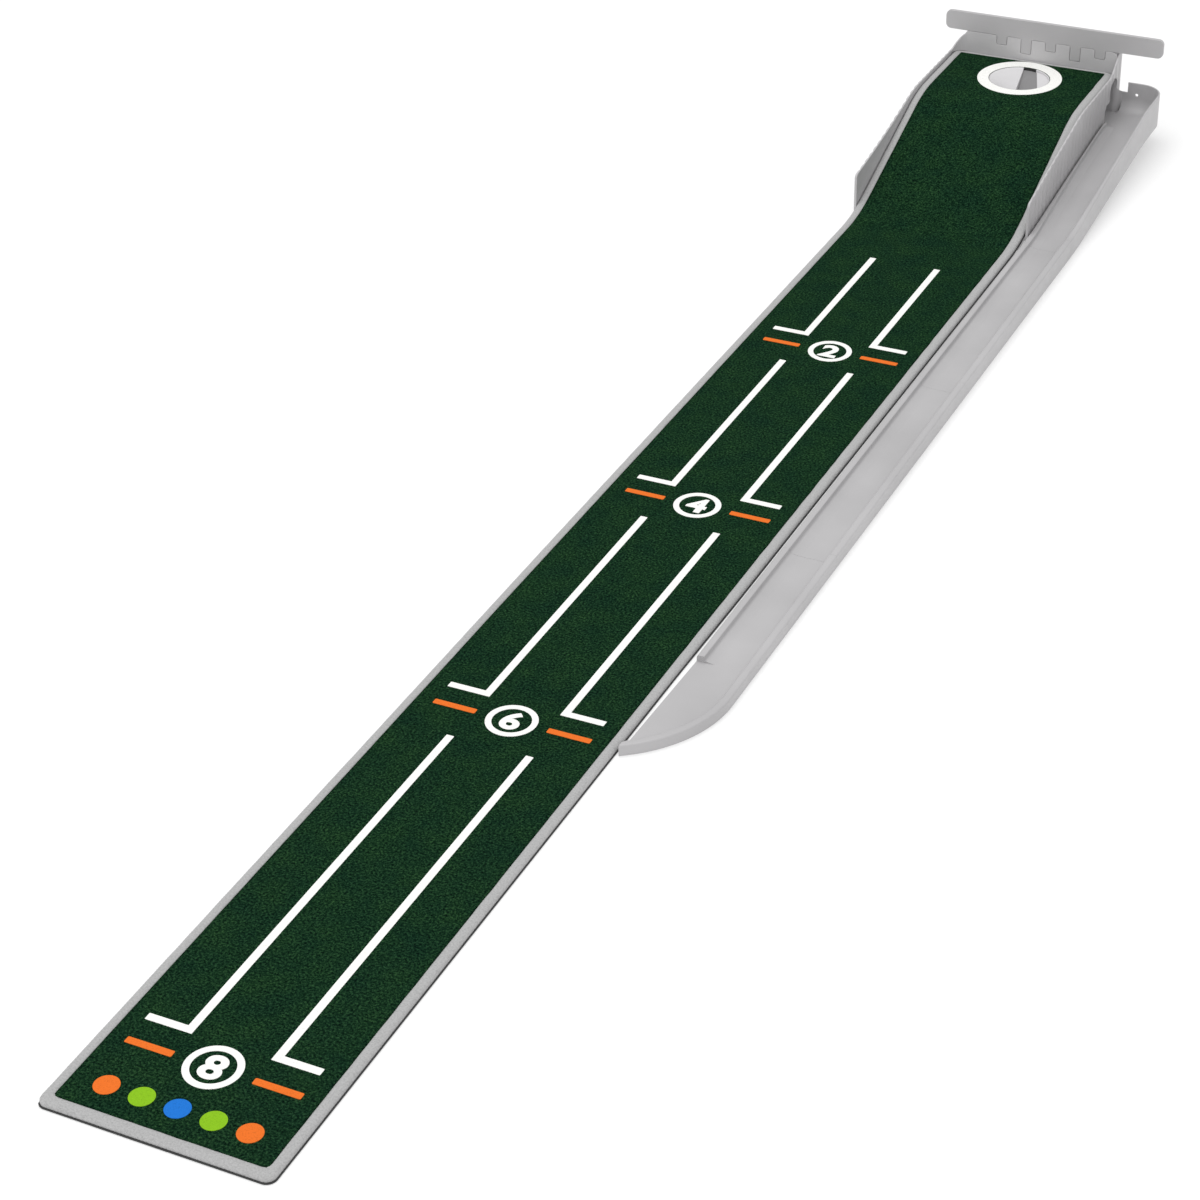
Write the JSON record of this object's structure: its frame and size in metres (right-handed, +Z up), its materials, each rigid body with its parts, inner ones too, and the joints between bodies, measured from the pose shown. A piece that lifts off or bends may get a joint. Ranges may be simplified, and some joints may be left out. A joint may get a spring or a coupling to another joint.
{
  "type": "practice putting mat",
  "caption": "Indoor putting mat with a ramp up to a sunken cup, a plug-in backstop and a side track that rolls the ball back.",
  "frame": {"origin": "centre of the whole object's box, on the floor", "axes": "+X across the mat towards the return track, +Y along the mat towards the cup, +Z up"},
  "size_m": [0.412, 2.946, 0.19],
  "materials": {
    "turf": "short matte pile",
    "backing": "foamed, matte",
    "binding": "overlocked yarn",
    "grey_plastic": "fine satin grain",
    "chute_plastic": "fine satin grain",
    "hook_tape": "hook tape",
    "screw_steel": "zinc plated",
    "foot_rubber": "matte"
  },
  "bodies": {
    "ramp": {"ramp_deck": "grey_plastic", "hook_strips": "hook_tape", "deck_ribs": "grey_plastic", "base_pan": "grey_plastic", "deck_screws": "screw_steel", "rubber_feet": "foot_rubber", "left_side_wall": "grey_plastic", "right_side_wall": "grey_plastic", "rear_wall": "grey_plastic", "cup_chute": "chute_plastic", "ball_guide": "chute_plastic"},
    "mat": {"turf_pile": "turf", "mat_backing": "backing", "edge_binding": "binding"},
    "backstop": {"backstop_bar": "grey_plastic"},
    "tray": {"return_tray": "grey_plastic"},
    "track_upper": {"upper_track": "grey_plastic"},
    "track_middle": {"middle_track": "grey_plastic"},
    "track_end": {"end_track": "grey_plastic"}
  },
  "joints": [
    {"name": "mat_lift", "type": "slide", "parent": "ramp", "child": "mat", "axis": [0, 0, 1], "range_m": [0, 0.08]},
    {"name": "backstop_lift", "type": "slide", "parent": "ramp", "child": "backstop", "axis": [0, 0, 1], "range_m": [0, 0.04]},
    {"name": "tray_unplug", "type": "slide", "parent": "ramp", "child": "tray", "axis": [1, 0, 0], "range_m": [0, 0.145]},
    {"name": "upper_track_unplug", "type": "slide", "parent": "tray", "child": "track_upper", "axis": [0, -1, 0], "range_m": [0, 0.03]},
    {"name": "middle_track_unplug", "type": "slide", "parent": "track_upper", "child": "track_middle", "axis": [0, -1, 0], "range_m": [0, 0.03]},
    {"name": "end_track_unplug", "type": "slide", "parent": "track_middle", "child": "track_end", "axis": [0, -1, 0], "range_m": [0, 0.03]}
  ]
}
